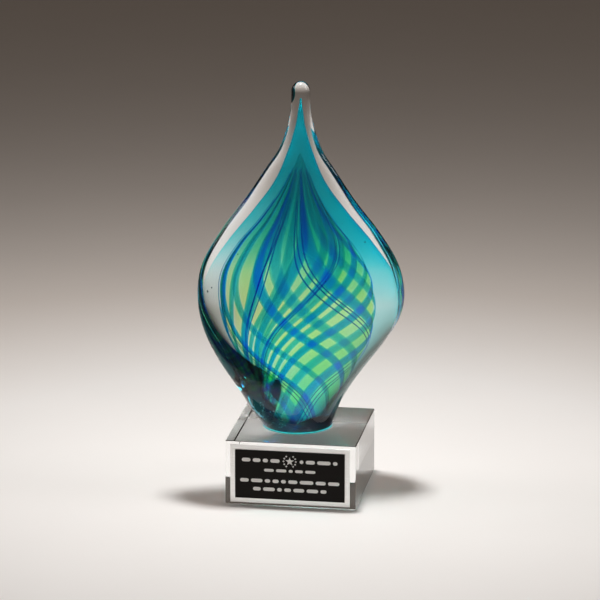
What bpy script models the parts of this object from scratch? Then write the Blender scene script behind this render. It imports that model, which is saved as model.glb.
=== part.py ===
"""Art-glass award: a twisted flame of cased glass bonded to a square crystal block with a name plate.

The frame is in metres, +Z up, with the origin at the middle of the block's underside. The front face,
which carries the name plate, looks along -Y. The flame is built as a glassmaker gathers it: a clear
heart, a green ground, blue and teal canes laid on the ground, a clear gather, a teal veil and a thick
clear casing. All the layers were pressed flat and twisted together, so they share one law of sections.
"""

import math

import bmesh
import bpy
from mathutils import Matrix, Vector

# Driving dimensions, in metres
BLOCK_SIDE = 0.0762
BLOCK_HEIGHT = 0.0381
BLOCK_BEVEL = 0.0008
FLAME_HEIGHT = 0.2044
FLAME_HALF_WIDTH = 0.0602
BULB_HALF_WIDTH = 0.0435

GAP = 0.00025
FILM_THICKNESS = 0.0003
LAYER_GAP = 0.0004
VEIL_THICKNESS = 0.0008
GROUND_THICKNESS = 0.0010
CANE_ROOM = 0.0017
CANE_THICKNESS = 0.0003
THREAD_RADIUS = 0.00008

PLATE_SIZE = (0.0698, 0.0348)
FIELD_SIZE = (0.064, 0.029)
TAPE_SIZE = (0.060, 0.026)
TAPE_THICKNESS = 0.0003
PLATE_THICKNESS = 0.0005
PLATE_EDGE = 0.0001

# Outlines up the flame: (share of the flame's height, share of the layer's largest half-width)
FLAME_OUTLINE = (
    (0.00, 0.345), (0.035, 0.400), (0.07, 0.465), (0.12, 0.570), (0.22, 0.812), (0.30, 0.954),
    (0.38, 1.000), (0.47, 0.948), (0.57, 0.755), (0.66, 0.528), (0.75, 0.330), (0.80, 0.219),
    (0.85, 0.152), (0.90, 0.112), (0.94, 0.098), (0.972, 0.096),
)
VEIL_OUTLINE = (
    (0.00, 0.240), (0.07, 0.355), (0.12, 0.480), (0.22, 0.735), (0.30, 0.870), (0.39, 0.925),
    (0.45, 0.875), (0.54, 0.680), (0.625, 0.450), (0.71, 0.245), (0.80, 0.112), (0.87, 0.042),
    (0.915, 0.020), (0.94, 0.010),
)
BULB_OUTLINE = (
    (0.00, 0.230), (0.07, 0.350), (0.15, 0.560), (0.23, 0.810), (0.30, 0.950), (0.38, 1.000),
    (0.45, 0.950), (0.53, 0.740), (0.60, 0.480), (0.68, 0.240), (0.74, 0.110), (0.79, 0.020),
)

# Half of the casing's thickness from front to back, as a share of FLAME_HALF_WIDTH, and how much of it the
# veil and the bulb take. A layer that is narrower than that is nearly round.
DEPTH_OUTLINE = (
    (0.00, 0.345), (0.06, 0.345), (0.14, 0.330), (0.24, 0.300), (0.39, 0.240), (0.52, 0.165),
    (0.66, 0.120), (0.80, 0.104), (0.90, 0.100), (0.972, 0.096),
)
VEIL_DEPTH = 0.84
BULB_DEPTH = 0.38
ROUNDNESS = 0.85

# The twist in degrees and the sideways lean that all the layers share, and the bulb's own lean
RIDGE_ANGLE = 9.0
TWIST = (
    (0.00, 48.0), (0.05, 44.0), (0.12, 38.0), (0.22, 26.0), (0.35, 9.0), (0.50, 0.0), (0.80, -12.0),
    (1.00, -18.0),
)
LEAN = (
    (0.00, -0.0018), (0.06, -0.0022), (0.13, -0.0002), (0.20, 0.0010), (0.28, 0.0012), (0.36, 0.0006),
    (0.46, -0.0003), (0.58, 0.0), (0.70, 0.0),
)
BULB_LEAN = ((0.04, 0.0), (0.18, -0.0014), (0.30, -0.0028), (0.50, -0.0028), (0.76, 0.0))

# The canes' spiral: degrees per whole height where it is fully turning, the shares between which that takes
# hold, how much lower it does so at the left than at the middle, and the share at the foot where it calms
TURN_RATE = 450.0
TURN_FROM = (0.10, 0.62)
LATE_LEFT = 0.21
CALM_FOOT = 0.16
CALM_RATE = 0.3
COURSE_TOP = 0.8
COURSE_STEP = 0.004

# Mesh fineness
SEGMENTS = 26
TIP_SLOPE = 0.6
SMALLEST_RING = 0.0006
KNOB_RINGS = 4

# Canes: how many of each wide ribbon and of each group of fine threads, and their widths in degrees
RIBBON_PAIRS = 9
BLUE_WIDTH = 8.0
TEAL_WIDTH = 11.0
THREAD_GROUPS = 4
THREADS_IN_GROUP = 3
THREAD_PITCH = 4.0
TEAL_PLACE = 0.36
THREAD_PLACE = 0.58
RIBBON_TOP = 0.70
THREAD_TOP = 0.64
RIBBON_FOOT = 0.004
THREAD_FOOT = 0.165
CANE_STATIONS = 22
RIBBON_COLUMNS = 2

FOOT_Z = BLOCK_HEIGHT + 2 * GAP + FILM_THICKNESS


def clear_the_scene():
    for old in list(bpy.data.objects):
        bpy.data.objects.remove(old, do_unlink=True)


def along(points, x):
    """The value at x of a smooth curve through the points, by cubic pieces with gentle tangents."""
    if x <= points[0][0]:
        return points[0][1]
    if x >= points[-1][0]:
        return points[-1][1]
    last = len(points) - 1
    slopes = []
    for i in range(last + 1):
        before = points[max(i - 1, 0)]
        after = points[min(i + 1, last)]
        slopes.append((after[1] - before[1]) / (after[0] - before[0]))
    i = 0
    while points[i + 1][0] < x:
        i += 1
    (x0, y0), (x1, y1) = points[i], points[i + 1]
    span = x1 - x0
    t = (x - x0) / span
    return (
        (2 * t**3 - 3 * t**2 + 1) * y0
        + (t**3 - 2 * t**2 + t) * span * slopes[i]
        + (3 * t**2 - 2 * t**3) * y1
        + (t**3 - t**2) * span * slopes[i + 1]
    )


def smooth_step(low, high, x):
    t = min(max((x - low) / (high - low), 0.0), 1.0)
    return t * t * (3 - 2 * t)


def height_at(share):
    return FOOT_Z + share * FLAME_HEIGHT


def casing_depth(share):
    return along(DEPTH_OUTLINE, share) * FLAME_HALF_WIDTH


def pressed(depth, radius):
    """A layer's half-thickness: the depth it may take, or nearly its half-width where that is less."""
    return (depth**-3 + (ROUNDNESS * radius) ** -3) ** (-1 / 3)


def flame_wall(share):
    """Half-width, half-thickness and lean of the casing's outer wall."""
    return along(FLAME_OUTLINE, share) * FLAME_HALF_WIDTH, casing_depth(share), along(LEAN, share)


def veil_wall(share):
    radius = along(VEIL_OUTLINE, share) * FLAME_HALF_WIDTH
    return radius, pressed(VEIL_DEPTH * casing_depth(share), radius), along(LEAN, share)


def bulb_wall(share):
    radius = along(BULB_OUTLINE, share) * BULB_HALF_WIDTH
    lean = along(LEAN, share) + along(BULB_LEAN, share)
    return radius, pressed(BULB_DEPTH * casing_depth(share), radius), lean


def section_point(wall, share, offset, angle):
    """A point of a layer's twisted section. Its half-width across the front is the outline's at any twist."""
    radius, depth, lean = wall
    twist = math.radians(along(TWIST, share))
    reach = math.sqrt(radius**2 - (depth * math.sin(twist)) ** 2) / math.cos(twist)
    flat = Vector(((reach + offset) * math.cos(angle), (depth + offset) * math.sin(angle), height_at(share)))
    return Matrix.Rotation(twist + math.radians(RIDGE_ANGLE), 3, "Z") @ flat + Vector((lean, 0, 0))


def levels(first, last, count):
    return [first + (last - first) * i / count for i in range(count + 1)]


# The heights of the rings: closer together where the outlines bend most
SHARES = levels(0.0, 0.10, 3) + levels(0.14, 0.60, 12) + levels(0.66, 0.94, 4)


def ring(wall_at, share, offset):
    turns = levels(0.0, 2 * math.pi, SEGMENTS)[:-1]
    return [section_point(wall_at(share), share, offset, turn) for turn in turns]


def side(wall_at, offset, outline):
    """One wall of a layer from its tip down to the foot: a point, then rings of points."""
    rings = []
    for share in SHARES:
        radius, depth, lean = wall_at(share)
        room = min(radius, depth) + offset
        if share > outline[-1][0] or room < SMALLEST_RING:
            break
        rings.append(ring(wall_at, share, offset))
        last_share, last_room, last_lean = share, room, lean
    tip = last_share + last_room / TIP_SLOPE / FLAME_HEIGHT
    return [[Vector((last_lean, 0.0, height_at(tip)))]] + rings[::-1]


def flame_side():
    """The casing's outer wall, closed at the top by the round knob."""
    top = FLAME_OUTLINE[-1][0]
    rings = [ring(flame_wall, share, 0.0) for share in SHARES + [top]]
    radius = flame_wall(top)[0]
    for i in range(1, KNOB_RINGS):
        turn = math.radians(90.0) * i / KNOB_RINGS
        rise = (1 - top) * math.sin(turn)
        shrink = radius * (1 - math.cos(turn))
        rings.append(ring(flame_wall, top + rise, -shrink))
    rings.append([Vector((0.0, 0.0, height_at(1.0)))])
    return rings[::-1]


def join_rings(work, upper, lower):
    """Faces between two rings of corners; either may be a single point."""
    for i in range(SEGMENTS):
        after = (i + 1) % SEGMENTS
        if len(upper) == 1:
            work.faces.new((upper[0], lower[i], lower[after]))
        elif len(lower) == 1:
            work.faces.new((upper[after], upper[i], lower[0]))
        else:
            work.faces.new((upper[i], lower[i], lower[after], upper[after]))


def glass_layer(name, rings, material):
    """A layer of the flame, lofted ring by ring from its top point down, and back up where it is hollow."""
    work = bmesh.new()
    corners = [[work.verts.new(point) for point in points] for points in rings]
    for upper, lower in zip(corners, corners[1:]):
        join_rings(work, upper, lower)
    bmesh.ops.recalc_face_normals(work, faces=work.faces)
    mesh = bpy.data.meshes.new(name)
    work.to_mesh(mesh)
    work.free()
    return add_object(name, mesh, material)


def add_object(name, mesh, material):
    mesh.shade_smooth()
    mesh.set_sharp_from_angle(angle=math.radians(40))
    mesh.materials.append(material)
    piece = bpy.data.objects.new(name, mesh)
    award.objects.link(piece)
    return piece


def make_material(name, colour, roughness=0.05, metallic=0.0, transmission=0.0):
    material = bpy.data.materials.new(name)
    material.use_nodes = True
    shader = material.node_tree.nodes["Principled BSDF"]
    shader.inputs["Base Color"].default_value = (*colour, 1.0)
    shader.inputs["Roughness"].default_value = roughness
    shader.inputs["Metallic"].default_value = metallic
    shader.inputs["Transmission Weight"].default_value = transmission
    return material


def build_flame():
    """The five nested layers of glass, all ground flat together at the foot."""
    clear = make_material("clear_glass", (0.95, 0.97, 0.97), transmission=1.0)
    teal = make_material("teal_glass", (0.0, 0.45, 0.52), transmission=0.8)
    green = make_material("green_glass", (0.33, 0.68, 0.30), transmission=0.5)
    around_veil = side(veil_wall, LAYER_GAP, VEIL_OUTLINE)
    veil_outside = side(veil_wall, 0.0, VEIL_OUTLINE)
    veil_inside = side(veil_wall, -VEIL_THICKNESS, VEIL_OUTLINE)
    within_veil = side(veil_wall, -VEIL_THICKNESS - LAYER_GAP, VEIL_OUTLINE)
    around_canes = side(bulb_wall, CANE_ROOM, BULB_OUTLINE)
    bulb_outside = side(bulb_wall, 0.0, BULB_OUTLINE)
    bulb_inside = side(bulb_wall, -GROUND_THICKNESS, BULB_OUTLINE)
    within_bulb = side(bulb_wall, -GROUND_THICKNESS - LAYER_GAP, BULB_OUTLINE)
    foot_middle = [Vector((LEAN[0][1], 0.0, height_at(0.0)))]
    glass_layer("clear_casing", flame_side() + around_veil[::-1], clear)
    glass_layer("teal_veil", veil_outside + veil_inside[::-1], teal)
    glass_layer("clear_gather", within_veil + around_canes[::-1], clear)
    glass_layer("green_ground", bulb_outside + bulb_inside[::-1], green)
    glass_layer("clear_heart", within_bulb + [foot_middle], clear)


def cane_course(start):
    """The angles of a line drawn on the bulb, from its tip down. Lines turn faster lower down until they calm at
    the foot, and they start later on the left, so they bunch and spread but never cross."""
    angles = [start]
    for step in range(round(COURSE_TOP / COURSE_STEP)):
        share = COURSE_TOP - step * COURSE_STEP
        held = share - LATE_LEFT * math.cos(math.radians(angles[-1]))
        calm = CALM_RATE + (1 - CALM_RATE) * smooth_step(0.0, CALM_FOOT, share)
        rate = TURN_RATE * (1 - smooth_step(*TURN_FROM, held)) * calm
        angles.append(angles[-1] + rate * COURSE_STEP)
    return angles


def cane_point(course, share):
    """A point in the middle of the room between the green ground and the clear gather."""
    steps = (COURSE_TOP - share) / COURSE_STEP
    before = int(steps)
    angle = course[before] + (course[min(before + 1, len(course) - 1)] - course[before]) * (steps - before)
    return section_point(bulb_wall(share), share, CANE_ROOM / 2, math.radians(angle))


def ribbon(name, middle, width, material):
    """A flat cane: a grid laid along the bulb, then given its thickness."""
    shares = levels(RIBBON_FOOT, RIBBON_TOP, CANE_STATIONS)
    courses = [cane_course(middle + place * width / 2) for place in levels(-1.0, 1.0, RIBBON_COLUMNS)]
    work = bmesh.new()
    bmesh.ops.create_grid(work, x_segments=RIBBON_COLUMNS, y_segments=CANE_STATIONS, size=1.0)
    for vertex in work.verts:
        column = round((vertex.co.x + 1) / 2 * RIBBON_COLUMNS)
        row = round((vertex.co.y + 1) / 2 * CANE_STATIONS)
        vertex.co = cane_point(courses[column], shares[row])
    bmesh.ops.recalc_face_normals(work, faces=work.faces)
    mesh = bpy.data.meshes.new(name)
    work.to_mesh(mesh)
    work.free()
    piece = add_object(name, mesh, material)
    thicken = piece.modifiers.new("Thickness", "SOLIDIFY")
    thicken.thickness = CANE_THICKNESS
    thicken.offset = 0.0
    thicken.use_even_offset = True
    return piece


def thread(name, angle, material):
    """A fine round cane, drawn as a tube along the bulb."""
    curve = bpy.data.curves.new(name, "CURVE")
    curve.dimensions = "3D"
    curve.bevel_depth = THREAD_RADIUS
    curve.bevel_resolution = 0
    curve.use_fill_caps = True
    shares = levels(THREAD_FOOT, THREAD_TOP, CANE_STATIONS)
    course = cane_course(angle)
    spline = curve.splines.new("POLY")
    spline.points.add(len(shares) - 1)
    for point, share in zip(spline.points, shares):
        point.co = (*cane_point(course, share), 1.0)
    curve.materials.append(material)
    piece = bpy.data.objects.new(name, curve)
    award.objects.link(piece)
    return piece


def build_canes():
    """Pairs of one blue and one teal ribbon round the bulb, with groups of threads between some pairs."""
    blue = make_material("blue_cane", (0.0, 0.09, 0.55), roughness=0.2)
    teal = make_material("teal_cane", (0.0, 0.28, 0.32), roughness=0.2)
    pitch = 360.0 / RIBBON_PAIRS
    for i in range(RIBBON_PAIRS):
        start = pitch * i
        ribbon(f"blue_ribbon_{i + 1}", start, BLUE_WIDTH, blue)
        ribbon(f"teal_ribbon_{i + 1}", start + TEAL_PLACE * pitch, TEAL_WIDTH, teal)
    for group in range(THREAD_GROUPS):
        start = pitch * (2 * group + THREAD_PLACE)
        for i in range(THREADS_IN_GROUP):
            number = group * THREADS_IN_GROUP + i + 1
            thread(f"fine_thread_{number}", start + THREAD_PITCH * i, blue)


def slab(name, size, centre, material, corner=0.0, corner_segments=1):
    """A flat-sided piece from a cube, scaled in its mesh, with an optional bevel."""
    work = bmesh.new()
    bmesh.ops.create_cube(work, size=1.0)
    bmesh.ops.scale(work, vec=size, verts=work.verts)
    mesh = bpy.data.meshes.new(name)
    work.to_mesh(mesh)
    work.free()
    mesh.materials.append(material)
    piece = bpy.data.objects.new(name, mesh)
    piece.location = centre
    award.objects.link(piece)
    if corner:
        bevel = piece.modifiers.new("Edges", "BEVEL")
        bevel.width = corner
        bevel.segments = corner_segments
    return piece


def build_block():
    crystal = make_material("block_crystal", (0.93, 0.95, 0.95), transmission=1.0)
    size = (BLOCK_SIDE, BLOCK_SIDE, BLOCK_HEIGHT)
    slab("crystal_block", size, (0, 0, BLOCK_HEIGHT / 2), crystal, BLOCK_BEVEL, 2)


def build_bond():
    """The cured film of clear adhesive that holds the flame's foot to the block."""
    cured = make_material("cured_adhesive", (0.9, 0.92, 0.9), transmission=0.8)
    work = bmesh.new()
    radius = flame_wall(0.0)[0] - GAP
    bmesh.ops.create_cone(
        work, cap_ends=True, segments=SEGMENTS, radius1=radius, radius2=radius, depth=FILM_THICKNESS
    )
    mesh = bpy.data.meshes.new("adhesive_film")
    work.to_mesh(mesh)
    work.free()
    film = add_object("adhesive_film", mesh, cured)
    film.location = (LEAN[0][1], 0, BLOCK_HEIGHT + GAP + FILM_THICKNESS / 2)


def build_name_plate():
    """Tape, silver plate and black engraving plate, one in front of the other on the block's front."""
    tape = make_material("adhesive_tape", (0.8, 0.8, 0.78), roughness=0.6)
    silver = make_material("silver_plate", (0.82, 0.82, 0.8), roughness=0.3, metallic=1.0)
    black = make_material("black_plate", (0.012, 0.01, 0.009), roughness=0.3)
    layers = (
        ("plate_tape", TAPE_SIZE, TAPE_THICKNESS, tape, 0.0),
        ("silver_plate", PLATE_SIZE, PLATE_THICKNESS, silver, PLATE_EDGE),
        ("black_engraving_plate", FIELD_SIZE, PLATE_THICKNESS, black, PLATE_EDGE),
    )
    front = -BLOCK_SIDE / 2
    for name, (width, height), thickness, material, corner in layers:
        middle = front - GAP - thickness / 2
        slab(name, (width, thickness, height), (0, middle, BLOCK_HEIGHT / 2), material, corner)
        front = middle - thickness / 2


clear_the_scene()
award = bpy.data.collections.new("crystal_award")
bpy.context.scene.collection.children.link(award)
build_block()
build_bond()
build_flame()
build_canes()
build_name_plate()
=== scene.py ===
"""Looks for the art-glass award: smooth glass, coloured canes, bubbles, block, plate, light and camera."""

import math
import random

import bpy
import bmesh
import numpy as np
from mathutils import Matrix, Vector, noise


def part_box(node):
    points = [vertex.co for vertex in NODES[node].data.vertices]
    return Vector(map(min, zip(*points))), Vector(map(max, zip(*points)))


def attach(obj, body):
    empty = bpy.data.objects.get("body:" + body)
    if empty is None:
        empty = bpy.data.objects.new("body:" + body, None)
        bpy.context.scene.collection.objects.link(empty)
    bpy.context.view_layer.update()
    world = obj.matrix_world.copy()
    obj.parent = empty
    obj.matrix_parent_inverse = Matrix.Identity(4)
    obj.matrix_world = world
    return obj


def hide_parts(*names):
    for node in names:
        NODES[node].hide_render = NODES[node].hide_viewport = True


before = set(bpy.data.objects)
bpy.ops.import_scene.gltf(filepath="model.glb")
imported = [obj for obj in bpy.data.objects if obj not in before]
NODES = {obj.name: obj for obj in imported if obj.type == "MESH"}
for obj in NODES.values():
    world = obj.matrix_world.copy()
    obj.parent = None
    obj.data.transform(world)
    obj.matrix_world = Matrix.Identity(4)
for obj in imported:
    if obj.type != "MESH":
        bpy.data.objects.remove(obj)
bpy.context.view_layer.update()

# Places read from the frame, in metres
block_low, block_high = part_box("crystal_block")
casing_low, casing_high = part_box("clear_casing")
field_low, field_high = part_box("black_engraving_plate")
plate_low, plate_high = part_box("silver_plate")
FOOT_Z = casing_low.z
FLAME_HEIGHT = casing_high.z - casing_low.z

# The flame's shape law, the same as the CAD's: outlines, squash, twist and lean
FLAME_HALF_WIDTH = 0.0602
BULB_HALF_WIDTH = 0.0435
# Outlines up the flame: (share of the flame's height, share of the layer's largest half-width)
FLAME_OUTLINE = (
    (0.00, 0.345), (0.035, 0.400), (0.07, 0.465), (0.12, 0.570), (0.22, 0.812), (0.30, 0.954),
    (0.38, 1.000), (0.47, 0.948), (0.57, 0.755), (0.66, 0.528), (0.75, 0.330), (0.80, 0.219),
    (0.85, 0.152), (0.90, 0.112), (0.94, 0.098), (0.972, 0.096),
)
VEIL_OUTLINE = (
    (0.00, 0.240), (0.07, 0.355), (0.12, 0.480), (0.22, 0.735), (0.30, 0.870), (0.39, 0.925),
    (0.45, 0.875), (0.54, 0.680), (0.625, 0.450), (0.71, 0.245), (0.80, 0.112), (0.87, 0.042),
    (0.915, 0.020), (0.94, 0.010),
)
BULB_OUTLINE = (
    (0.00, 0.230), (0.07, 0.350), (0.15, 0.560), (0.23, 0.810), (0.30, 0.950), (0.38, 1.000),
    (0.45, 0.950), (0.53, 0.740), (0.60, 0.480), (0.68, 0.240), (0.74, 0.110), (0.79, 0.020),
)

# Half of the casing's thickness from front to back, as a share of FLAME_HALF_WIDTH, and how much of it the
# veil and the bulb take. A layer that is narrower than that is nearly round.
DEPTH_OUTLINE = (
    (0.00, 0.345), (0.06, 0.345), (0.14, 0.330), (0.24, 0.300), (0.39, 0.240), (0.52, 0.165),
    (0.66, 0.120), (0.80, 0.104), (0.90, 0.100), (0.972, 0.096),
)
VEIL_DEPTH = 0.84
BULB_DEPTH = 0.38
ROUNDNESS = 0.85

# The twist in degrees and the sideways lean that all the layers share, and the bulb's own lean
RIDGE_ANGLE = 9.0
TWIST = (
    (0.00, 48.0), (0.05, 44.0), (0.12, 38.0), (0.22, 26.0), (0.35, 9.0), (0.50, 0.0),
    (0.80, -12.0), (1.00, -18.0),
)
LEAN = (
    (0.00, -0.0018), (0.06, -0.0022), (0.13, -0.0002), (0.20, 0.0010), (0.28, 0.0012), (0.36, 0.0006),
    (0.46, -0.0003), (0.58, 0.0), (0.70, 0.0),
)
BULB_LEAN = ((0.04, 0.0), (0.18, -0.0014), (0.30, -0.0028), (0.50, -0.0028), (0.76, 0.0))

# The canes' spiral: degrees per whole height where it is fully turning, the shares between which that takes
# hold, how much lower it does so at the left than at the middle, and the share of the rate that is left at
# the foot, below CALM_FOOT
TURN_RATE = 450.0
TURN_FROM = (0.10, 0.62)
LATE_LEFT = 0.16
CALM_FOOT = 0.16
CALM_RATE = 0.3
COURSE_TOP = 0.8
COURSE_STEP = 0.004

# Where the layers start and end, in shares of the flame's height, and how bluntly they close at the tip
VEIL_FOOT = 0.003
VEIL_TOP = 0.95
BULB_FOOT = 0.004
BULB_TOP = 0.79
TIP_SLOPE = 0.6

# The foot's polished edge, how far each layer is drawn in to stay inside the CAD's, and the outer wall's
# ripple with its fineness across and along the flame
FOOT_ROUND = 0.0007
SNUG = 0.0002
RIPPLE = 0.00035
RIPPLE_ACROSS = 38
RIPPLE_ALONG = 26

# The canes: how many of each, where the teals lie between the blues, the widths in degrees round the bulb,
# how high they reach, how far they lie outside the bulb's wall, how thick they are and how they wander
SEED = 11
CANE_PAIRS = 9
TEAL_PLACE = 0.45
BLUE_WIDTHS = (7.5, 14.5)
BLUE_TOP = 0.75
BLUE_LIFT = 0.0005
TEAL_WIDTHS = (7.0, 15.0)
TEAL_TOP = 0.74
TEAL_LIFT = 0.0009
CANE_THICKNESS = 0.0003
CANE_WOBBLE = 5.0
WOBBLE_APART = 0.37
WOBBLE_RATE = 4.0
THREADS = 12
THREADS_IN_GROUP = 3
THREAD_PITCH = 3.4
THREAD_STARTS = (28.0, 108.0, 188.0, 268.0)
THREAD_WIDTH = 1.4
THREAD_TOP = 0.66
THREAD_LIFT = 0.0013
THREAD_THICKNESS = 0.0002

# The dark streak in the knob's wall: its ends, its side and width in degrees, and how deep inside it lies
TRAIL_FOOT = 0.94
TRAIL_TOP = 0.9995
TRAIL_SIDE = 198
TRAIL_WIDTH = 84
TRAIL_INSET = 0.0008
TRAIL_THICKNESS = 0.0004
TRAIL_LEAST = 0.01

# Dyes: the colour of light through a layer of density 1, and how dense each layer is, some of them by height
VEIL_DYE = (0.005, 0.60, 0.80)
VEIL_DENSITY = (
    (0.0, 0.8), (0.06, 0.3), (0.1, 0.16), (0.2, 0.08), (0.35, 0.04), (0.45, 0.11), (0.53, 0.30),
    (0.60, 0.42), (0.68, 0.42), (0.8, 0.40), (1.0, 0.40),
)
# The veil is denser towards the right and where it is seen edge-on, and a little milky near its top
VEIL_RIGHT = 0.9
VEIL_EDGE = 1.4
VEIL_MILK = (0.0, 0.54, 0.64)
VEIL_MILKINESS = ((0.62, 0.0), (0.80, 0.28), (0.95, 0.35))
# The ground is green between the canes, in one of these strengths for each gap, and fades at the top and foot
GROUND_DYE = (0.80, 0.94, 0.30)
GROUND_DENSITY = 0.55
GAP_GREENS = (0.4, 0.65, 0.8, 1.0)
UNDER_CANE = 0.12
BARE_FROM = 0.55
BARE_OVER = 0.6
LINE_LEAST = 0.3
GREEN_TOP_FADE = (0.40, 0.65)
GREEN_FOOT_FADE = (0.01, 0.10)
CAP_DYE = (0.02, 0.50, 0.72)
CAP_DENSITY = ((0.0, 0.06), (0.3, 0.0), (0.45, 0.03), (0.6, 0.20), (0.75, 0.32))
BLUE_DYE = (0.04, 0.57, 0.93)
BLUE_DENSITY = 0.8
THREAD_DENSITY = 1.6
TEAL_DYE = (0.08, 0.62, 0.74)
TEAL_DENSITY = 0.6
TRAIL_DYE = (0.0, 0.22, 0.28)
TRAIL_DENSITY = 1.1
SLANT_LEAST = 0.25

# Lamplight's colour through each surface of the block and of the flame: a teal glow near the flame's axis and
# a grey-brown shade farther out, in shares of FLAME_HALF_WIDTH
BLOCK_SHADE = (0.13, 0.13, 0.13)
FLAME_GLOW = (0.03, 0.95, 0.90)
FLAME_SHADE = (0.24, 0.17, 0.14)
GLOW_RADIUS = 0.22
SHADE_RADIUS = 0.38

# The block and the plates
BLOCK_BEVEL = 0.0006
SILVER_BEVEL = 0.00012
LACQUER_BEVEL = 0.00008

# The engraving: a star in a ring of marks, and rows of dashes. Each row has a rise above the plate's middle,
# a half-length, a height and half of the gap that it leaves for the star
MARK_DEPTH = 0.00012
MARK_PROUD = 0.00006
ROW_RISES = (0.0088, 0.0030, -0.0035, -0.0085)
ROW_HALVES = (0.0280, 0.0150, 0.0290, 0.0215)
ROW_HEIGHTS = (0.0022, 0.0017, 0.0021, 0.0021)
ROW_CLEAR = (0.0058, 0.0, 0.0, 0.0)
DASH_LEAST = 0.0022
DASH_MOST = 0.0085
DASH_GAP = 0.0013
STAR_OUTER = 0.0026
STAR_INNER = 0.0011
RING_RADIUS = 0.0036
RING_MARKS = 5
RING_START = 34
RING_PITCH = 28
RING_MARK_OUTER = 0.0007
RING_MARK_INNER = 0.00035

# Bubbles. The few dark ones: places (share of the height, degrees round the veil), scatter, how far they lie
# outside the veil, and radii. The froth: how many, lowest share and spread upwards, radii, side in degrees
# and depths inside the wall
SEED_PLACES = (
    (0.60, 320), (0.53, 335), (0.47, 345), (0.50, 215), (0.40, 200), (0.33, 195), (0.66, 300), (0.44, 280),
)
SEED_SCATTER = 0.012
SEED_PROUD = 0.0004
SEED_RADII = (0.00022, 0.00042)
FROTH = 60
FROTH_FOOT = 0.018
FROTH_RISE = 0.10
FROTH_RADII = (0.00012, 0.00028)
FROTH_SIDE = (150, 215)
FROTH_DEPTHS = (0.0008, 0.0022)

# Light, floor and camera, in metres, watts and degrees
OVER_PLACE = (0.0, 0.04, 0.56)
OVER_SIZE = 0.07
OVER_W = 2.8
SIDE_X = 0.46
SIDE_Y = 0.02
SIDE_Z = 0.48
SIDE_SIZE = 0.24
SIDE_AIM_Z = 0.02
SIDE_W = 0.6
LAMP_COLOUR = (1.0, 0.972, 0.952)
WORLD_LEVEL = (0.110, 0.093, 0.079)
WORLD_ABOVE = (0.075, 0.062, 0.052)
WORLD_CHANGE = 0.45
FLOOR_HALF = 15.0
FLOOR_Z = -0.0002
# Floor colour near the middle, then a darker, warmer painted shade far out, and the distances over which it
# fades
FLOOR_NEAR = (0.86, 0.845, 0.83)
FLOOR_FAR_PAINTED_SHADE = (0.80, 0.74, 0.69)
FLOOR_SHADE_FADE = (0.24, 0.44)
CAMERA_AZIMUTH = 9.1
CAMERA_ELEVATION = 15.7
CAMERA_DISTANCE = 2.6
CAMERA_AIM = (-0.0004, 0.0, 0.1134)
CAMERA_LENS = 269.4

# Fineness of the smooth surfaces
RINGS = 260
SEGMENTS = 224
CANE_STEPS = 160
CANE_ACROSS = 8


# --- Shape law -------------------------------------------------------------------------------------

def along(points, x):
    """The value at x of a smooth curve through the points, by cubic pieces with gentle tangents."""
    if x <= points[0][0]:
        return points[0][1]
    if x >= points[-1][0]:
        return points[-1][1]
    last = len(points) - 1
    i = 0
    while points[i + 1][0] < x:
        i += 1

    def slope(k):
        before, after = points[max(k - 1, 0)], points[min(k + 1, last)]
        return (after[1] - before[1]) / (after[0] - before[0])

    (x0, y0), (x1, y1) = points[i], points[i + 1]
    span = x1 - x0
    t = (x - x0) / span
    return (
        (2 * t**3 - 3 * t**2 + 1) * y0
        + (t**3 - 2 * t**2 + t) * span * slope(i)
        + (3 * t**2 - 2 * t**3) * y1
        + (t**3 - t**2) * span * slope(i + 1)
    )


def smooth_step(low, high, x):
    t = min(max((x - low) / (high - low), 0.0), 1.0)
    return t * t * (3 - 2 * t)


def height_at(share):
    return FOOT_Z + share * FLAME_HEIGHT


def casing_depth(share):
    return along(DEPTH_OUTLINE, share) * FLAME_HALF_WIDTH


def pressed(depth, radius):
    """A layer's half-thickness: the depth it may take, or nearly its half-width where that is less."""
    return (depth**-3 + (ROUNDNESS * radius) ** -3) ** (-1 / 3)


def flame_wall(share):
    """Half-width, half-thickness and lean of the outer wall, with the knob and a polished round foot."""
    top = FLAME_OUTLINE[-1][0]
    shrink = 0.0
    if share > top:
        rise = min((share - top) / (1 - top), 1.0)
        shrink = FLAME_OUTLINE[-1][1] * FLAME_HALF_WIDTH * (1 - math.sqrt(max(1 - rise * rise, 0.0)))
    height = share * FLAME_HEIGHT
    if height < FOOT_ROUND:
        sink = 1 - height / FOOT_ROUND
        shrink = FOOT_ROUND * (1 - math.sqrt(max(1 - sink * sink, 0.0)))
    radius = along(FLAME_OUTLINE, share) * FLAME_HALF_WIDTH - shrink
    return radius, casing_depth(share) - shrink, along(LEAN, share)


def veil_wall(share):
    radius = along(VEIL_OUTLINE, share) * FLAME_HALF_WIDTH
    return radius, pressed(VEIL_DEPTH * casing_depth(share), radius), along(LEAN, share)


def bulb_wall(share):
    radius = along(BULB_OUTLINE, share) * BULB_HALF_WIDTH
    lean = along(LEAN, share) + along(BULB_LEAN, share)
    return radius, pressed(BULB_DEPTH * casing_depth(share), radius), lean


class Section:
    """One height's twisted ellipse of a layer, ready to give points at any angle."""

    def __init__(self, wall_at, share, offset=0.0):
        radius, depth, self.lean = wall_at(share)
        twist = math.radians(along(TWIST, share))
        self.depth = max(depth + offset, 0.0)
        reach = math.sqrt(max(radius**2 - (depth * math.sin(twist)) ** 2, 0.0)) / math.cos(twist)
        self.reach = reach + offset
        turn = twist + math.radians(RIDGE_ANGLE)
        self.cos_turn, self.sin_turn = math.cos(turn), math.sin(turn)
        self.z = height_at(share)

    def point(self, angle, proud=0.0):
        x = (self.reach + proud) * math.cos(angle)
        y = (self.depth + proud) * math.sin(angle)
        return Vector((
            x * self.cos_turn - y * self.sin_turn + self.lean,
            x * self.sin_turn + y * self.cos_turn,
            self.z,
        ))


# --- Meshes ----------------------------------------------------------------------------------------

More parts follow.
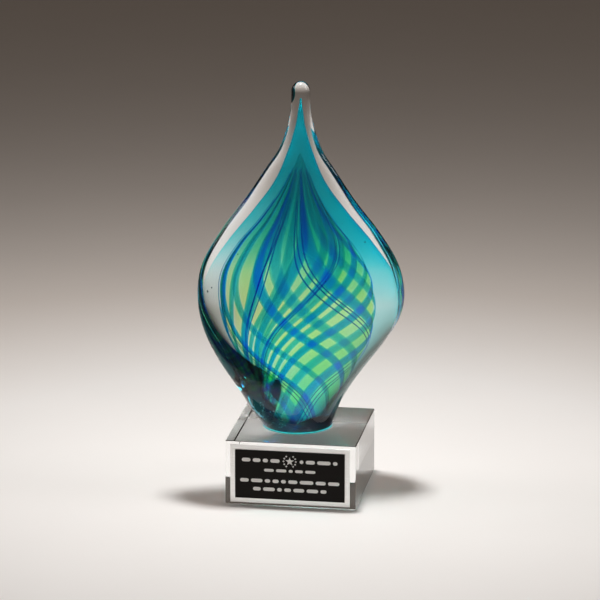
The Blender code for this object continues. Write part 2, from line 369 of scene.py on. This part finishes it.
def link(name, mesh, material, smooth=True):
    if smooth:
        mesh.shade_smooth()
    mesh.materials.append(material)
    piece = bpy.data.objects.new(name, mesh)
    bpy.context.scene.collection.objects.link(piece)
    return piece


def layer_surface(name, wall_at, shares, material, wave=0.0):
    """A closed smooth layer: rings by the shape law, a point at the tip and a flat foot."""
    vertices, faces = [], []
    for share in shares:
        section = Section(wall_at, share, -SNUG)
        for k in range(SEGMENTS):
            spot = section.point(2 * math.pi * k / SEGMENTS)
            if wave:
                place = Vector((spot.x * RIPPLE_ACROSS, spot.y * RIPPLE_ACROSS, spot.z * RIPPLE_ALONG))
                ripple = noise.noise(place)
                inward = Vector((spot.x, spot.y, 0)).normalized()
                spot -= inward * wave * (1 + ripple) / 2
            vertices.append(spot)
    rings = len(shares)
    for i in range(rings - 1):
        for k in range(SEGMENTS):
            after = (k + 1) % SEGMENTS
            faces.append((i * SEGMENTS + k, i * SEGMENTS + after,
                          (i + 1) * SEGMENTS + after, (i + 1) * SEGMENTS + k))
    radius, depth, lean = wall_at(shares[-1])
    tip_share = min(shares[-1] + min(radius, depth) / TIP_SLOPE / FLAME_HEIGHT, 1.0)
    vertices.append(Vector((lean, 0.0, height_at(tip_share))))
    apex = len(vertices) - 1
    for k in range(SEGMENTS):
        faces.append(((rings - 1) * SEGMENTS + k, (rings - 1) * SEGMENTS + (k + 1) % SEGMENTS, apex))
    faces.append(tuple(reversed(range(SEGMENTS))))
    mesh = bpy.data.meshes.new(name)
    mesh.from_pydata(vertices, [], faces)
    mesh.update()
    piece = link(name, mesh, material)
    mesh.set_sharp_from_angle(angle=math.radians(50))
    return piece


def spread(first, last, count):
    return [first + (last - first) * i / count for i in range(count + 1)]


def cane_course(start):
    """The angles of a line drawn on the bulb, from its tip down. Lines turn faster lower down, later on the
    left and slowly at the foot, so they bunch and spread but never cross."""
    angles = [start]
    for step in range(round(COURSE_TOP / COURSE_STEP)):
        share = COURSE_TOP - step * COURSE_STEP
        held = share - LATE_LEFT * math.cos(math.radians(angles[-1]))
        calm = CALM_RATE + (1 - CALM_RATE) * smooth_step(0.0, CALM_FOOT, share)
        rate = TURN_RATE * (1 - smooth_step(*TURN_FROM, held)) * calm
        angles.append(angles[-1] + rate * COURSE_STEP)
    return angles


def course_angle(course, share):
    steps = (COURSE_TOP - share) / COURSE_STEP
    before = int(steps)
    after = min(before + 1, len(course) - 1)
    return course[before] + (course[after] - course[before]) * (steps - before)


class Cane:
    """One cane's line down the bulb, in degrees. It wanders a little, and widens where the lines spread."""

    def __init__(self, start, width, top):
        self.start, self.width, self.foot, self.top = start, width, BULB_FOOT, top
        self.left, self.right = cane_course(start - 1.0), cane_course(start + 1.0)

    def at(self, share):
        """The angles of the cane's middle and of half its width."""
        low, high = course_angle(self.left, share), course_angle(self.right, share)
        drift = CANE_WOBBLE * noise.noise(Vector((self.start * WOBBLE_APART, share * WOBBLE_RATE, 3.1)))
        return (low + high) / 2 + drift, self.width / 2 * math.sqrt((high - low) / 2)


class Trail:
    """A dark teal streak in the knob's wall. It narrows at both ends."""

    def __init__(self):
        self.foot, self.top = TRAIL_FOOT, TRAIL_TOP

    def at(self, share):
        """The angles of the streak's middle and of half its width."""
        swell = math.sin(math.pi * (share - self.foot) / (self.top - self.foot))
        turn = along(TWIST, share) + RIDGE_ANGLE
        return TRAIL_SIDE - turn, TRAIL_WIDTH / 2 * math.sqrt(max(swell, TRAIL_LEAST))


def cane_surface(name, cane, lift, material, thickness, wall_at=bulb_wall):
    """A flat cane with a rounded cross-section that hugs the bulb, or another layer."""
    rows = []
    for share in spread(cane.foot, cane.top, CANE_STEPS):
        section = Section(wall_at, share, -SNUG)
        middle, half = cane.at(share)
        row = []
        for j in range(CANE_ACROSS + 1):
            across = -1 + 2 * j / CANE_ACROSS
            crown = thickness * math.sqrt(max(1 - across * across, 0.0))
            row.append((math.radians(middle + across * half), crown, section))
        rows.append(row)
    vertices, faces, cores = [], [], []
    for side in (1, -1):
        for row in rows:
            for angle, crown, section in row:
                cores.append((crown / thickness) ** 2)
                vertices.append(section.point(angle, lift + side * crown / 2))
    wide = CANE_ACROSS + 1
    layer = len(rows) * wide
    for i in range(len(rows) - 1):
        for j in range(CANE_ACROSS):
            a, b = i * wide + j, i * wide + j + 1
            c, d = (i + 1) * wide + j + 1, (i + 1) * wide + j
            faces.append((a, b, c, d))
            faces.append((layer + a, layer + d, layer + c, layer + b))
    for i in (0, len(rows) - 1):
        for j in range(CANE_ACROSS):
            a, b = i * wide + j, i * wide + j + 1
            faces.append((a, layer + a, layer + b, b) if i == 0 else (a, b, layer + b, layer + a))
    mesh = bpy.data.meshes.new(name)
    mesh.from_pydata(vertices, [], faces)
    core = mesh.attributes.new("core", "FLOAT", "POINT")
    core.data.foreach_set("value", cores)
    work = bmesh.new()
    work.from_mesh(mesh)
    bmesh.ops.remove_doubles(work, verts=work.verts, dist=1e-7)
    bmesh.ops.recalc_face_normals(work, faces=work.faces)
    work.to_mesh(mesh)
    work.free()
    return link(name, mesh, material)


# --- Materials -------------------------------------------------------------------------------------

class Graph:
    """A short way to write a material's node tree."""

    def __init__(self, name):
        self.material = bpy.data.materials.new(name)
        self.material.use_nodes = True
        self.tree = self.material.node_tree
        self.tree.nodes.clear()
        self.out = self.node("OutputMaterial")

    def node(self, kind, **settings):
        made = self.tree.nodes.new("ShaderNode" + kind)
        for key, value in settings.items():
            setattr(made, key, value)
        return made

    def link(self, source, target):
        self.tree.links.new(source, target)

    def math(self, operation, a, b=None, clamp=False):
        made = self.node("Math", operation=operation, use_clamp=clamp)
        for socket, value in zip(made.inputs, (a, b)):
            if value is None:
                continue
            if isinstance(value, (int, float)):
                socket.default_value = value
            else:
                self.link(value, socket)
        return made.outputs[0]

    def ramp(self, factor, stops):
        made = self.node("ValToRGB")
        elements = made.color_ramp.elements
        while len(elements) < len(stops):
            elements.new(0.5)
        for element, (place, colour) in zip(elements, stops):
            element.position = place
            element.color = (*colour, 1) if len(colour) == 3 else colour
        self.link(factor, made.inputs[0])
        return made.outputs[0]

    def grey_ramp(self, factor, stops):
        return self.ramp(factor, [(place, (v, v, v)) for place, v in stops])

    def noise(self, vector, scale, detail=3.0, distortion=0.0):
        made = self.node("TexNoise")
        made.inputs["Scale"].default_value = scale
        made.inputs["Detail"].default_value = detail
        made.inputs["Distortion"].default_value = distortion
        if vector is not None:
            self.link(vector, made.inputs["Vector"])
        return made.outputs["Fac"]

    def position(self, scale=(1, 1, 1)):
        coordinates = self.node("TexCoord")
        mapping = self.node("Mapping")
        mapping.inputs["Scale"].default_value = scale
        self.link(coordinates.outputs["Object"], mapping.inputs["Vector"])
        return mapping.outputs["Vector"]

    def height(self):
        """0 at the flame's foot, 1 at its tip."""
        split = self.node("SeparateXYZ")
        self.link(self.node("TexCoord").outputs["Object"], split.inputs[0])
        return self.math("MULTIPLY", self.math("SUBTRACT", split.outputs["Z"], FOOT_Z), 1 / FLAME_HEIGHT)

    def film(self, colour):
        """A layer of dye with no surface of its own, as it is fused into the glass. Lamps ignore it."""
        path = self.node("LightPath")
        clear = self.node("Mix", data_type="RGBA")
        self.link(path.outputs["Is Shadow Ray"], clear.inputs["Factor"])
        self.link(colour, clear.inputs["A"])
        clear.inputs["B"].default_value = (1, 1, 1, 1)
        film = self.node("BsdfTransparent")
        self.link(clear.outputs["Result"], film.inputs["Color"])
        return film.outputs[0]

    def finish(self, shader):
        self.link(shader, self.out.inputs["Surface"])
        return self.material


def polished_glass(name, tint, lamp_light):
    """Clear glass, ior 1.5. Lamplight passes straight through it, in the colours that lamp_light sets."""
    g = Graph(name)
    glass = g.node("BsdfPrincipled")
    glass.inputs["Base Color"].default_value = (*tint, 1)
    glass.inputs["Roughness"].default_value = 0.0
    glass.inputs["IOR"].default_value = 1.5
    glass.inputs["Transmission Weight"].default_value = 1.0
    passing = g.node("BsdfTransparent")
    lamp_light(g, passing.inputs["Color"])
    mix = g.node("MixShader")
    g.link(g.node("LightPath").outputs["Is Shadow Ray"], mix.inputs[0])
    g.link(glass.outputs[0], mix.inputs[1])
    g.link(passing.outputs[0], mix.inputs[2])
    return g.finish(mix.outputs[0])


def through_flame(g, socket):
    """The flame gathers teal light down its middle and throws a grey-brown shade elsewhere."""
    flat = g.node("VectorMath", operation="MULTIPLY")
    g.link(g.node("TexCoord").outputs["Object"], flat.inputs[0])
    flat.inputs[1].default_value = (1, 1, 0)
    length = g.node("VectorMath", operation="LENGTH")
    g.link(flat.outputs[0], length.inputs[0])
    aside = g.math("DIVIDE", length.outputs["Value"], FLAME_HALF_WIDTH)
    stops = [(0.0, FLAME_GLOW), (GLOW_RADIUS, FLAME_GLOW), (SHADE_RADIUS, FLAME_SHADE), (1.0, FLAME_SHADE)]
    g.link(g.ramp(aside, stops), socket)


def through_block(g, socket):
    socket.default_value = (*BLOCK_SHADE, 1)


def dyed(g, colour, strength):
    """The colour of light through a dye: each channel of colour to the power of strength."""
    combine = g.node("CombineColor")
    for socket, channel in zip(combine.inputs, colour):
        g.link(g.math("POWER", channel, strength), socket)
    return combine.outputs[0]


def slant(g):
    """How much longer a slanting ray's path is inside a thin layer than a straight one's."""
    facing = g.node("LayerWeight")
    facing.inputs["Blend"].default_value = 0.5
    straight = g.math("SUBTRACT", 1.0, facing.outputs["Facing"])
    return g.math("DIVIDE", 1.0, g.math("ADD", straight, SLANT_LEAST))


def veil_material():
    """Teal that is dense where the glass was drawn out at the top and thin round the belly."""
    g = Graph("teal_veil_dye")
    height = g.height()
    density = g.grey_ramp(height, VEIL_DENSITY)
    streaks = g.noise(g.position((60, 60, 9)), 1.0, 4.0, 0.6)
    uneven = g.math("ADD", 0.75, g.math("MULTIPLY", streaks, 0.5))
    edge = g.math("POWER", slant(g), VEIL_EDGE)
    split = g.node("SeparateXYZ")
    g.link(g.node("TexCoord").outputs["Object"], split.inputs[0])
    rightwards = g.math("MULTIPLY", split.outputs["X"], VEIL_RIGHT / FLAME_HALF_WIDTH)
    uneven = g.math("MULTIPLY", uneven, g.math("ADD", 1.0, rightwards))
    strength = g.math("MULTIPLY", g.math("MULTIPLY", density, uneven), edge)
    milk = g.node("BsdfTranslucent")
    milk.inputs["Color"].default_value = (*VEIL_MILK, 1)
    mix = g.node("MixShader")
    g.link(g.grey_ramp(height, VEIL_MILKINESS), mix.inputs[0])
    g.link(g.film(dyed(g, VEIL_DYE, strength)), mix.inputs[1])
    g.link(milk.outputs[0], mix.inputs[2])
    return g.finish(mix.outputs[0])


def cane_material(name, dye, density, mottle):
    """A cane fused inside the glass: a dye, uneven along its length and thinner at its edges."""
    g = Graph(name)
    streaks = g.noise(g.position((90, 90, 14)), 1.0, 5.0, 0.8)
    clouds = g.noise(g.position((34, 34, 26)), 1.0, 3.0, 0.4)
    uneven = g.math("ADD", 1 - mottle, g.math("MULTIPLY", g.math("ADD", streaks, clouds), mottle))
    core = g.node("Attribute", attribute_name="core").outputs["Fac"]
    solid = g.grey_ramp(core, [(0.0, 0.0), (0.35, 0.55), (0.8, 1.0)])
    strength = g.math("MULTIPLY", g.math("MULTIPLY", uneven, density), g.math("MULTIPLY", slant(g), solid))
    return g.finish(g.film(dyed(g, dye, strength)))


def ground_material():
    """Yellow-green between the canes, under a teal that deepens towards the bulb's tip."""
    g = Graph("green_ground_film")
    streaks = g.noise(g.position((90, 90, 14)), 1.0, 5.0, 0.8)
    uneven = g.math("ADD", 0.5, streaks)
    painted = g.node("Attribute", attribute_name="green").outputs["Fac"]
    green = g.math("MULTIPLY", g.math("MULTIPLY", uneven, painted), GROUND_DENSITY)
    cap = g.math("MULTIPLY", g.math("MULTIPLY", g.grey_ramp(g.height(), CAP_DENSITY), uneven), slant(g))
    both = g.node("VectorMath", operation="MULTIPLY")
    g.link(dyed(g, GROUND_DYE, green), both.inputs[0])
    g.link(dyed(g, CAP_DYE, cap), both.inputs[1])
    return g.finish(g.film(both.outputs[0]))


def metal_material(name, colour, roughness, grain, metallic=1.0, gloss=0.5):
    """Satin sheet metal with a fine grain along X and faint smudges."""
    g = Graph(name)
    shader = g.node("BsdfPrincipled")
    lines = g.noise(g.position((60, 900, 900)), 3.0, 3.0)
    smudges = g.noise(g.position((70, 70, 70)), 1.0, 3.0)
    shader.inputs["Metallic"].default_value = metallic
    g.link(g.ramp(lines, [(0.3, [c * 0.9 for c in colour]), (0.7, colour)]), shader.inputs["Base Color"])
    rough = g.math("ADD", roughness, g.math("MULTIPLY", g.math("SUBTRACT", smudges, 0.5), 0.12))
    g.link(rough, shader.inputs["Roughness"])
    shader.inputs["Specular IOR Level"].default_value = gloss
    bump = g.node("Bump")
    bump.inputs["Strength"].default_value = grain
    bump.inputs["Distance"].default_value = 0.00002
    g.link(lines, bump.inputs["Height"])
    g.link(bump.outputs[0], shader.inputs["Normal"])
    return g.finish(shader.outputs[0])


def floor_material():
    """Smooth pale card with the faintest mottle, and painted shade: darker and warmer away from the lamps."""
    g = Graph("pale_floor")
    shader = g.node("BsdfPrincipled")
    shader.inputs["Roughness"].default_value = 0.75
    fibres = g.noise(g.position((3, 3, 3)), 4.0, 4.0)
    length = g.node("VectorMath", operation="LENGTH")
    g.link(g.node("TexCoord").outputs["Object"], length.inputs[0])
    # Painted shade: the floor's colour darkens and warms with distance from the middle, as the lamps' light
    # falls off
    card_and_painted_shade = g.ramp(length.outputs["Value"], list(zip(FLOOR_SHADE_FADE, (FLOOR_NEAR, FLOOR_FAR_PAINTED_SHADE))))
    mottle = g.node("VectorMath", operation="SCALE")
    g.link(card_and_painted_shade, mottle.inputs[0])
    g.link(g.math("ADD", 0.98, g.math("MULTIPLY", fibres, 0.04)), mottle.inputs["Scale"])
    g.link(mottle.outputs[0], shader.inputs["Base Color"])
    return g.finish(shader.outputs[0])


# --- The flame -------------------------------------------------------------------------------------

def ride(piece, slot, *nodes):
    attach(piece, "root")
    if nodes:
        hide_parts(*nodes)
    return piece


def build_flame(canes):
    clear = polished_glass("clear_flame_glass", (0.97, 0.985, 0.985), through_flame)
    veil = veil_material()
    ground = ground_material()
    top = FLAME_OUTLINE[-1][0]
    rounded = FOOT_ROUND / FLAME_HEIGHT
    body_shares = spread(0.0, rounded, 6)[:-1] + spread(rounded, top, RINGS)
    knob_shares = [top + (1 - top) * math.sin(math.radians(a)) for a in spread(0, 88, 20)][1:]
    outer = layer_surface("cased_flame_glass", flame_wall, body_shares + knob_shares, clear, RIPPLE)
    ride(outer, "clear_glass", "clear_casing", "clear_gather", "clear_heart")
    veil_piece = layer_surface("teal_veil_glass", veil_wall, spread(VEIL_FOOT, VEIL_TOP, RINGS), veil)
    ride(veil_piece, "teal_glass", "teal_veil")
    bulb_shares = spread(BULB_FOOT, BULB_TOP, RINGS)
    ground_piece = layer_surface("green_ground_glass", bulb_wall, bulb_shares, ground)
    paint_ground(ground_piece, bulb_shares, canes)
    ride(ground_piece, "green_glass", "green_ground")
    streak = cane_material("knob_trail_film", TRAIL_DYE, TRAIL_DENSITY, 0.3)
    trail = cane_surface("knob_trail", Trail(), -TRAIL_INSET, streak, TRAIL_THICKNESS, flame_wall)
    ride(trail, "teal_glass")


def plan_canes():
    """Blue and teal canes in turn round the bulb, each of its own width."""
    draw = random.Random(SEED)
    pitch = 360.0 / CANE_PAIRS
    blues, teals = [], []
    for i in range(CANE_PAIRS):
        blues.append(Cane(pitch * i + draw.uniform(-4, 4), draw.uniform(*BLUE_WIDTHS), BLUE_TOP))
        start = pitch * (i + TEAL_PLACE) + draw.uniform(-5, 5)
        teals.append(Cane(start, draw.uniform(*TEAL_WIDTHS), TEAL_TOP))
    return blues, teals


def paint_ground(piece, shares, canes):
    """Marks how green the ground is: deeply or palely between the canes, and hardly at all under them."""
    draw = random.Random(SEED + 1)
    gaps = np.array([draw.choice(GAP_GREENS) for cane in canes])
    angles = np.degrees(2 * np.pi * np.arange(SEGMENTS) / SEGMENTS)
    greens = []
    for share in shares:
        lines = np.array([cane.at(min(share, TEAL_TOP)) for cane in canes])
        away = (angles[:, None] - lines[None, :, 0]) % 360
        gap = np.argmin(away, axis=1)
        aside = np.minimum(away, 360 - away) / np.maximum(lines[None, :, 1], LINE_LEAST)
        bare = np.clip((aside.min(axis=1) - BARE_FROM) / BARE_OVER, 0, 1)
        fade = (1 - 0.5 * smooth_step(*GREEN_TOP_FADE, share)) * smooth_step(*GREEN_FOOT_FADE, share)
        greens.append(gaps[gap] * (UNDER_CANE + (1 - UNDER_CANE) * bare) * fade)
    greens = np.concatenate(greens + [[1.0]])
    piece.data.attributes.new("green", "FLOAT", "POINT").data.foreach_set("value", greens)


def build_canes(blues, teals):
    blue = cane_material("blue_cane_film", BLUE_DYE, BLUE_DENSITY, 0.3)
    teal = cane_material("teal_cane_film", TEAL_DYE, TEAL_DENSITY, 0.45)
    for i, cane in enumerate(blues, 1):
        piece = cane_surface(f"blue_cane_{i}", cane, BLUE_LIFT, blue, CANE_THICKNESS)
        ride(piece, "blue_cane", f"blue_ribbon_{i}")
    for i, cane in enumerate(teals, 1):
        piece = cane_surface(f"teal_cane_{i}", cane, TEAL_LIFT, teal, CANE_THICKNESS)
        ride(piece, "teal_cane", f"teal_ribbon_{i}")
    fine = cane_material("fine_thread_film", BLUE_DYE, THREAD_DENSITY, 0.2)
    draw = random.Random(SEED + 2)
    for number in range(THREADS):
        group, place = divmod(number, THREADS_IN_GROUP)
        start = THREAD_STARTS[group] + THREAD_PITCH * place + draw.uniform(-0.8, 0.8)
        thread = Cane(start, THREAD_WIDTH, THREAD_TOP)
        piece = cane_surface(f"thread_{number + 1}", thread, THREAD_LIFT, fine, THREAD_THICKNESS)
        ride(piece, "blue_cane", f"fine_thread_{number + 1}")


# --- The block and its plate -----------------------------------------------------------------------

def bevelled_slab(name, low, high, width, segments, material):
    work = bmesh.new()
    bmesh.ops.create_cube(work, size=1.0)
    size = Vector(high) - Vector(low)
    bmesh.ops.scale(work, vec=size, verts=work.verts)
    bmesh.ops.translate(work, vec=(Vector(high) + Vector(low)) / 2, verts=work.verts)
    mesh = bpy.data.meshes.new(name)
    work.to_mesh(mesh)
    work.free()
    piece = link(name, mesh, material, smooth=False)
    bevel = piece.modifiers.new("Edges", "BEVEL")
    bevel.width = width
    bevel.segments = segments
    bevel.harden_normals = True
    return piece


def build_block():
    crystal = polished_glass("block_crystal_glass", (0.985, 0.99, 0.99), through_block)
    block = bevelled_slab("crystal_block_polished", block_low, block_high, BLOCK_BEVEL, 3, crystal)
    ride(block, "block_crystal", "crystal_block")


def outline_piece(work, corners, front, thickness):
    """A flat mark in the plate's plane: a closed slab behind the given outline of (x, z) corners."""
    face = [work.verts.new((x, front, z)) for x, z in corners]
    back = [work.verts.new((x, front + thickness, z)) for x, z in corners]
    work.faces.new(face)
    work.faces.new(back[::-1])
    count = len(corners)
    for i in range(count):
        after = (i + 1) % count
        work.faces.new((face[after], face[i], back[i], back[after]))


def dash_corners(x, z, length, height):
    """A dash with round ends, as corners."""
    radius = height / 2
    corners = []
    for middle, first in ((x + length - radius, -90), (x + radius, 90)):
        for turn in spread(first, first + 180, 6):
            angle = math.radians(turn)
            corners.append((middle + radius * math.cos(angle), z + radius * math.sin(angle)))
    return corners


def star_corners(x, z, outer, inner, points):
    corners = []
    for k in range(2 * points):
        reach = inner if k % 2 else outer
        angle = math.radians(90 + 180 * k / points)
        corners.append((x + reach * math.cos(angle), z + reach * math.sin(angle)))
    return corners


def engrave(front, material):
    """A star in a broken ring over four ruled rows of dashes: plain marks that spell nothing."""
    centre = (field_low.x + field_high.x) / 2
    middle = (field_low.z + field_high.z) / 2
    draw = random.Random(9)
    work = bmesh.new()
    star = star_corners(centre, middle + ROW_RISES[0], STAR_OUTER, STAR_INNER, 5)
    outline_piece(work, star, front, MARK_DEPTH)
    for side in (-1, 1):
        for k in range(RING_MARKS):
            turn = math.radians(90 - side * (RING_START + RING_PITCH * k))
            x = centre + RING_RADIUS * math.cos(turn)
            z = middle + ROW_RISES[0] + RING_RADIUS * math.sin(turn)
            mark = star_corners(x, z, RING_MARK_OUTER, RING_MARK_INNER, 4)
            outline_piece(work, mark, front, MARK_DEPTH)
    for rise, half, height, clear in zip(ROW_RISES, ROW_HALVES, ROW_HEIGHTS, ROW_CLEAR):
        for low, high in ((-half, -clear), (clear, half)) if clear else ((-half, half),):
            x = low
            while x < high - 0.5 * DASH_LEAST:
                length = min(draw.uniform(DASH_LEAST, DASH_MOST), high - x)
                dash = dash_corners(centre + x, middle + rise, length, height)
                outline_piece(work, dash, front, MARK_DEPTH)
                x += length + DASH_GAP
    bmesh.ops.recalc_face_normals(work, faces=work.faces)
    mesh = bpy.data.meshes.new("engraved_marks")
    work.to_mesh(mesh)
    work.free()
    return link("engraved_marks", mesh, material, smooth=False)


def build_plate():
    silver = metal_material("satin_silver", (0.92, 0.92, 0.91), 0.32, 0.25)
    black = metal_material("black_lacquer", (0.008, 0.006, 0.005), 0.45, 0.05, metallic=0.0, gloss=0.12)
    bright = metal_material("engraved_silver", (0.90, 0.89, 0.87), 0.5, 0.1, metallic=0.1)
    tape = metal_material("white_tape", (0.80, 0.80, 0.78), 0.6, 0.4, metallic=0.0)
    # Painted teal light: the bond's teal colour stands in for teal lamplight seen through the dyed foot
    bond_and_painted_light = metal_material("cured_bond_painted_teal_light", (0.08, 0.50, 0.56), 0.3, 0.1, metallic=0.0)
    NODES["plate_tape"].data.materials[0] = tape
    NODES["adhesive_film"].data.materials[0] = bond_and_painted_light
    silver_piece = bevelled_slab("silver_plate_satin", plate_low, plate_high, SILVER_BEVEL, 2, silver)
    ride(silver_piece, "silver_plate", "silver_plate")
    sunk = Vector((0, MARK_PROUD, 0))
    lacquer = bevelled_slab("black_plate_lacquered", field_low + sunk, field_high, LACQUER_BEVEL, 2, black)
    ride(lacquer, "black_plate", "black_engraving_plate")
    ride(engrave(field_low.y + MARK_PROUD / 3, bright), "silver_plate")


# --- Bubbles ---------------------------------------------------------------------------------------

def small_ball(work, place, radius):
    made = bmesh.ops.create_icosphere(work, subdivisions=2, radius=radius)
    bmesh.ops.translate(work, vec=place, verts=made["verts"])


def painted_bubble_material(name, scale, dark, light, roughness):
    """A small bubble's painted look: a base colour that paints its glint or its dark speck, uneven in colour.
    """
    g = Graph(name)
    shader = g.node("BsdfPrincipled")
    specks = g.noise(g.position((scale, scale, scale)), 1.0)
    g.link(g.ramp(specks, [(0.3, dark), (0.8, light)]), shader.inputs["Base Color"])
    shader.inputs["Roughness"].default_value = roughness
    return g.finish(shader.outputs[0])


def ball_piece(name, work, material, slot):
    mesh = bpy.data.meshes.new(name)
    work.to_mesh(mesh)
    work.free()
    ride(link(name, mesh, material), slot)


def build_seeds():
    """Tiny bubbles between the veil and the casing, painted as dark specks, and a froth of them at the foot's
    left, painted as pale cyan glints.
    """
    dark = painted_bubble_material("seed_bubble_painted_dark", 400, (0.0, 0.05, 0.07), (0.01, 0.16, 0.20), 0.12)
    pale = painted_bubble_material("froth_bubble_painted_glint", 500, (0.10, 0.60, 0.66), (0.45, 0.85, 0.88), 0.2)
    draw = random.Random(21)
    work = bmesh.new()
    for share, angle in SEED_PLACES:
        for k in range(draw.choice((1, 1, 2, 3))):
            section = Section(veil_wall, share + draw.uniform(-SEED_SCATTER, SEED_SCATTER))
            place = section.point(math.radians(angle + draw.uniform(-5, 5)), SEED_PROUD)
            small_ball(work, place, draw.uniform(*SEED_RADII))
    ball_piece("seed_bubbles", work, dark, "teal_glass")
    work = bmesh.new()
    for k in range(FROTH):
        share = FROTH_FOOT + FROTH_RISE * draw.random() ** 1.5
        angle = math.radians(draw.uniform(*FROTH_SIDE))
        place = Section(flame_wall, share).point(angle, -draw.uniform(*FROTH_DEPTHS))
        small_ball(work, place, draw.uniform(*FROTH_RADII))
    ball_piece("foot_froth", work, pale, "clear_glass")


# --- Stage, light and camera -----------------------------------------------------------------------

def build_stage():
    mesh = bpy.data.meshes.new("studio_floor")
    corners = [(x * FLOOR_HALF, y * FLOOR_HALF, 0) for x, y in ((-1, -1), (1, -1), (1, 1), (-1, 1))]
    mesh.from_pydata(corners, [], [(0, 1, 2, 3)])
    floor = link("studio_floor", mesh, floor_material(), smooth=False)
    floor.location.z = FLOOR_Z


def soft_light(name, place, aim, size, power):
    lamp = bpy.data.lights.new(name, "AREA")
    lamp.shape = "SQUARE"
    lamp.size = size
    lamp.energy = power
    lamp.color = LAMP_COLOUR
    holder = bpy.data.objects.new(name, lamp)
    bpy.context.scene.collection.objects.link(holder)
    holder.location = place
    holder.rotation_euler = (Vector(aim) - Vector(place)).to_track_quat("-Z", "Y").to_euler()
    holder.visible_camera = False


def build_world():
    world = bpy.data.worlds.new("studio_world")
    bpy.context.scene.world = world
    world.use_nodes = True
    tree = world.node_tree
    background = tree.nodes["Background"]
    coordinates = tree.nodes.new("ShaderNodeTexCoord")
    split = tree.nodes.new("ShaderNodeSeparateXYZ")
    ramp = tree.nodes.new("ShaderNodeValToRGB")
    tree.links.new(coordinates.outputs["Generated"], split.inputs[0])
    tree.links.new(split.outputs["Z"], ramp.inputs[0])
    tree.links.new(ramp.outputs[0], background.inputs["Color"])
    elements = ramp.color_ramp.elements
    elements[0].position = 0.0
    elements[0].color = (*WORLD_LEVEL, 1)
    elements[1].position = WORLD_CHANGE
    elements[1].color = (*WORLD_ABOVE, 1)


def build_lights():
    soft_light("overhead_softbox", OVER_PLACE, (0, 0, 0), OVER_SIZE, OVER_W)
    for number, x in ((1, -SIDE_X), (3, SIDE_X)):
        soft_light(f"side_softbox_{number}", (x, SIDE_Y, SIDE_Z), (0, 0, SIDE_AIM_Z), SIDE_SIZE, SIDE_W)


def build_camera():
    azimuth, elevation = math.radians(CAMERA_AZIMUTH), math.radians(CAMERA_ELEVATION)
    back = Vector((
        math.sin(azimuth) * math.cos(elevation),
        -math.cos(azimuth) * math.cos(elevation),
        math.sin(elevation),
    ))
    lens = bpy.data.cameras.new("camera")
    lens.lens = CAMERA_LENS
    lens.clip_end = 60.0
    camera = bpy.data.objects.new("camera", lens)
    bpy.context.scene.collection.objects.link(camera)
    camera.location = Vector(CAMERA_AIM) + back * CAMERA_DISTANCE
    camera.rotation_euler = (-back).to_track_quat("-Z", "Y").to_euler()
    bpy.context.scene.camera = camera


build_camera()
build_stage()
build_world()
build_lights()
build_block()
build_plate()
blue_canes, teal_canes = plan_canes()
build_flame(blue_canes + teal_canes)
build_canes(blue_canes, teal_canes)
build_seeds()

scene = bpy.context.scene
scene.view_settings.view_transform = "Standard"
scene.cycles.max_bounces = 24
scene.cycles.transmission_bounces = 18
scene.cycles.transparent_max_bounces = 48

bpy.context.view_layer.update()
